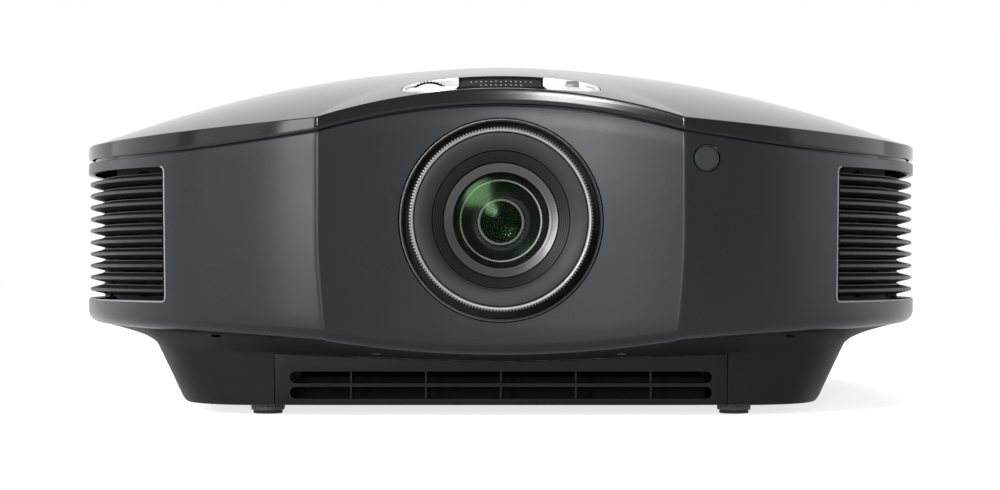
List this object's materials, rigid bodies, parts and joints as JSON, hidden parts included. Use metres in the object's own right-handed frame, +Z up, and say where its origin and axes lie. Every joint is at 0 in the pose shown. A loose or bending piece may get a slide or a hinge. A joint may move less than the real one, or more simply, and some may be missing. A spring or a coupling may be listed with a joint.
{
  "type": "home projector",
  "caption": "Low, wide home-cinema projector with a domed gloss lid, a shifting centre lens, louvred exhausts at the front corners and a filter drawer in its base.",
  "frame": {"origin": "middle of the object's box, on the plane under the feet", "axes": "+X to the right of someone who faces the lens, -Y out of the lens, +Z up"},
  "size_m": [0.4074, 0.4638, 0.1696],
  "materials": {
    "lid_gloss": "piano-black lacquer with a clear coat",
    "shell_satin": "dark blue-grey satin paint",
    "tray_black": "fine-grained black moulding",
    "grille_black": "semi-matt black moulding",
    "window_black": "smoked clear plastic",
    "trim_silver": "bright satin plating",
    "island_black": null,
    "dial_metal": "knurled anodised metal",
    "ring_silver": "finely knurled bright metal",
    "lens_black": "dark grey satin barrel paint",
    "lens_glass": "coated optical glass",
    "steel_plate": "plain plate",
    "carriage_metal": "cast and machined",
    "nut_brass": "turned",
    "foot_rubber": "matt",
    "knob_black": "ribbed moulding",
    "filter_foam": "open filter foam",
    "board_green": "solder resist",
    "socket_metal": "plated shells",
    "inlet_black": "moulded nylon",
    "fan_black": "moulded",
    "button_black": "moulded keys",
    "supply_metal": "boards and cans in a screen",
    "lamp_black": "heat-resistant moulding",
    "reflector_mirror": "coated glass reflector"
  },
  "bodies": {
    "root": {"top_cover": "lid_gloss", "front_panel": "shell_satin", "rear_cover": "shell_satin", "bottom_tray": "tray_black", "exhaust_grille_left": "grille_black", "exhaust_grille_right": "grille_black", "rear_intake_grille": "grille_black", "lens_bezel": "lens_black", "ir_window_front": "window_black", "ir_window_rear": "window_black", "dial_recess_tray": "trim_silver", "dial_island": "island_black", "lens_guide_frame": "carriage_metal", "rear_foot_left": "foot_rubber", "rear_foot_right": "foot_rubber", "connector_panel": "tray_black", "hdmi_socket_upper": "socket_metal", "hdmi_socket_lower": "socket_metal", "vga_socket": "socket_metal", "serial_socket": "socket_metal", "network_socket": "socket_metal", "component_sockets": "socket_metal", "main_board": "board_green", "mains_inlet": "inlet_black", "exhaust_fan_left": "fan_black", "exhaust_fan_right": "fan_black", "optical_engine": "carriage_metal", "power_supply": "supply_metal", "lamp_ballast": "supply_metal", "lamp_housing": "lamp_black", "lamp_reflector": "reflector_mirror"},
    "filter_drawer": {"filter_drawer": "tray_black", "air_filter": "filter_foam"},
    "horizontal_shift_dial": {"horizontal_shift_dial": "dial_metal"},
    "vertical_shift_dial": {"vertical_shift_dial": "dial_metal"},
    "horizontal_shift_screw": {"horizontal_shift_screw": "steel_plate"},
    "vertical_shift_screw": {"vertical_shift_screw": "steel_plate"},
    "horizontal_shift_nut": {"horizontal_shift_nut": "nut_brass"},
    "vertical_carriage": {"vertical_carriage": "carriage_metal"},
    "lens": {"horizontal_carriage": "carriage_metal", "lens_hood": "lens_black", "lens_barrel": "lens_black", "front_lens": "lens_glass", "rear_lens": "lens_glass", "aperture_ring": "lens_black", "lens_shield": "lens_black"},
    "focus_ring": {"focus_ring": "ring_silver"},
    "zoom_ring": {"zoom_ring": "lens_black"},
    "front_foot_left": {"front_foot_left": "foot_rubber"},
    "front_foot_right": {"front_foot_right": "foot_rubber"},
    "front_foot_knob_left": {"front_foot_knob_left": "knob_black"},
    "front_foot_knob_right": {"front_foot_knob_right": "knob_black"},
    "power_button": {"power_button": "button_black"},
    "input_button": {"input_button": "button_black"},
    "menu_button": {"menu_button": "button_black"},
    "control_stick_gimbal": {"control_stick_gimbal": "steel_plate"},
    "control_stick": {"control_stick": "button_black"},
    "lamp_door": {"lamp_door": "shell_satin"},
    "exhaust_rotor_left": {"exhaust_rotor_left": "fan_black"},
    "exhaust_rotor_right": {"exhaust_rotor_right": "fan_black"}
  },
  "joints": [
    {"name": "filter_drawer_slide", "type": "slide", "parent": "root", "child": "filter_drawer", "axis": [0, -1, 0], "range_m": [0, 0.075]},
    {"name": "vertical_dial_turn", "type": "hinge", "parent": "root", "child": "vertical_shift_dial", "pos_m": [0.0315, -0.176, 0.1359], "axis": [1, 0, 0], "range_deg": [-1297, 1297]},
    {"name": "vertical_screw_turn", "type": "hinge", "parent": "root", "child": "vertical_shift_screw", "pos_m": [0.0535, -0.176, 0.105], "axis": [0, 0, 1], "range_deg": [-1297, 1297]},
    {"name": "vertical_carriage_slide", "type": "slide", "parent": "root", "child": "vertical_carriage", "axis": [0, 0, 1], "range_m": [-0.0054, 0.0054]},
    {"name": "horizontal_dial_turn", "type": "hinge", "parent": "root", "child": "horizontal_shift_dial", "pos_m": [-0.0315, -0.176, 0.1359], "axis": [0, 1, 0], "range_deg": [-817, 817]},
    {"name": "horizontal_screw_turn", "type": "hinge", "parent": "root", "child": "horizontal_shift_screw", "pos_m": [-0.05, -0.147, 0.1359], "axis": [1, 0, 0], "range_deg": [-817, 817]},
    {"name": "horizontal_nut_slide", "type": "slide", "parent": "root", "child": "horizontal_shift_nut", "axis": [1, 0, 0], "range_m": [-0.0035, 0.0035]},
    {"name": "lens_slide", "type": "slide", "parent": "vertical_carriage", "child": "lens", "axis": [1, 0, 0], "range_m": [-0.0034, 0.0034]},
    {"name": "focus_ring_turn", "type": "hinge", "parent": "lens", "child": "focus_ring", "pos_m": [0, -0.22695, 0.0855], "axis": [0, 1, 0], "range_deg": [-50, 50]},
    {"name": "zoom_ring_turn", "type": "hinge", "parent": "lens", "child": "zoom_ring", "pos_m": [0, -0.21795, 0.0855], "axis": [0, 1, 0], "range_deg": [-30, 30]},
    {"name": "front_foot_left_slide", "type": "slide", "parent": "root", "child": "front_foot_left", "axis": [0, 0, -1], "range_m": [0, 0.008]},
    {"name": "front_foot_left_turn", "type": "hinge", "parent": "front_foot_left", "child": "front_foot_knob_left", "pos_m": [-0.1044, -0.165, 0.0029], "axis": [0, 0, -1], "range_deg": [0, 1921]},
    {"name": "front_foot_right_slide", "type": "slide", "parent": "root", "child": "front_foot_right", "axis": [0, 0, -1], "range_m": [0, 0.008]},
    {"name": "front_foot_right_turn", "type": "hinge", "parent": "front_foot_right", "child": "front_foot_knob_right", "pos_m": [0.1044, -0.165, 0.0029], "axis": [0, 0, -1], "range_deg": [0, 1921]},
    {"name": "power_button_press", "type": "slide", "parent": "root", "child": "power_button", "axis": [-1, 0, 0], "range_m": [0, 0.0008], "stiffness_N_per_m": 1500},
    {"name": "input_button_press", "type": "slide", "parent": "root", "child": "input_button", "axis": [-1, 0, 0], "range_m": [0, 0.0008], "stiffness_N_per_m": 1500},
    {"name": "menu_button_press", "type": "slide", "parent": "root", "child": "menu_button", "axis": [-1, 0, 0], "range_m": [0, 0.0008], "stiffness_N_per_m": 1500},
    {"name": "stick_tilt_up_down", "type": "hinge", "parent": "root", "child": "control_stick_gimbal", "pos_m": [0.1865, 0.096, 0.098], "axis": [0, 1, 0], "range_deg": [-10, 10], "stiffness_Nm_per_rad": 0.05},
    {"name": "stick_tilt_left_right", "type": "hinge", "parent": "control_stick_gimbal", "child": "control_stick", "pos_m": [0.1865, 0.096, 0.098], "axis": [0, 0, 1], "range_deg": [-10, 10], "stiffness_Nm_per_rad": 0.05},
    {"name": "lamp_door_hinge", "type": "hinge", "parent": "root", "child": "lamp_door", "pos_m": [-0.2037, 0.0003, 0.079], "axis": [0, 0, 1], "range_deg": [0, 100]},
    {"name": "exhaust_rotor_left_spin", "type": "hinge", "parent": "root", "child": "exhaust_rotor_left", "pos_m": [-0.161, -0.099, 0.081], "axis": [0.848, 0.5299, 0], "continuous": true},
    {"name": "exhaust_rotor_right_spin", "type": "hinge", "parent": "root", "child": "exhaust_rotor_right", "pos_m": [0.161, -0.099, 0.081], "axis": [-0.848, 0.5299, 0], "continuous": true}
  ],
  "couplings": [
    {"joint": "vertical_dial_turn", "follows": "vertical_carriage_slide", "rad_per_m": 4188.8},
    {"joint": "vertical_screw_turn", "follows": "vertical_carriage_slide", "rad_per_m": -4188.8},
    {"joint": "horizontal_dial_turn", "follows": "lens_slide", "rad_per_m": 4188.8},
    {"joint": "horizontal_screw_turn", "follows": "lens_slide", "rad_per_m": -4188.8},
    {"joint": "horizontal_nut_slide", "follows": "lens_slide", "ratio": 1},
    {"joint": "front_foot_left_turn", "follows": "front_foot_left_slide", "rad_per_m": 4188.8},
    {"joint": "front_foot_right_turn", "follows": "front_foot_right_slide", "rad_per_m": 4188.8}
  ]
}
